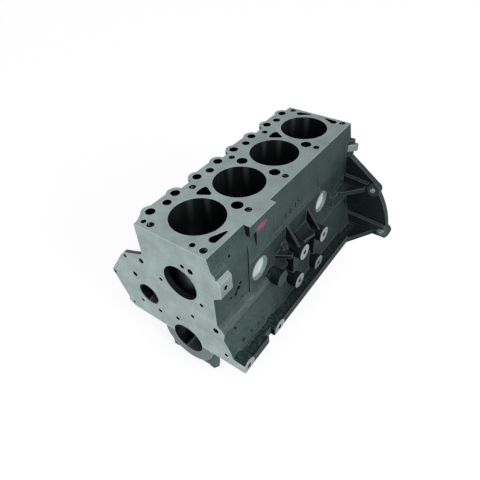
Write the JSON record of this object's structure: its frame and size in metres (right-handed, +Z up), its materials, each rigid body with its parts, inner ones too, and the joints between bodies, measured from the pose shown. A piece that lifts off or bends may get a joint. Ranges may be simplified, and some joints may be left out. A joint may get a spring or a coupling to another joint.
{
  "type": "engine block",
  "caption": "Bare inline diesel engine block in cast iron, with machined faces, main bearing caps and core plugs.",
  "frame": {"origin": "on the crankshaft axis, at the front face of the block", "axes": "+X right seen from the front, +Y rearward along the crankshaft, +Z up towards the deck"},
  "size_m": [0.4024, 0.469, 0.3115],
  "materials": {
    "casting": "as cast walls, machined faces",
    "caps": "as cast, machined nose",
    "bolts": "black phosphated",
    "bushes": "bored bearing metal, dull",
    "plugs": "zinc-plated pressed steel"
  },
  "bodies": {
    "root": {"cylinder_block": "casting", "main_cap_front": "caps", "main_cap_2": "caps", "main_cap_3": "caps", "main_cap_4": "caps", "main_cap_rear": "caps", "main_cap_bolt_1_left": "bolts", "main_cap_bolt_1_right": "bolts", "main_cap_bolt_2_left": "bolts", "main_cap_bolt_2_right": "bolts", "main_cap_bolt_3_left": "bolts", "main_cap_bolt_3_right": "bolts", "main_cap_bolt_4_left": "bolts", "main_cap_bolt_4_right": "bolts", "main_cap_bolt_5_left": "bolts", "main_cap_bolt_5_right": "bolts", "cam_bush_1": "bushes", "cam_bush_2": "bushes", "cam_bush_3": "bushes", "cam_bush_4": "bushes", "cam_bush_5": "bushes", "core_plug_front": "plugs", "core_plug_rear": "plugs", "cam_plug_rear": "plugs", "gallery_plug_rear": "plugs"}
  },
  "joints": []
}
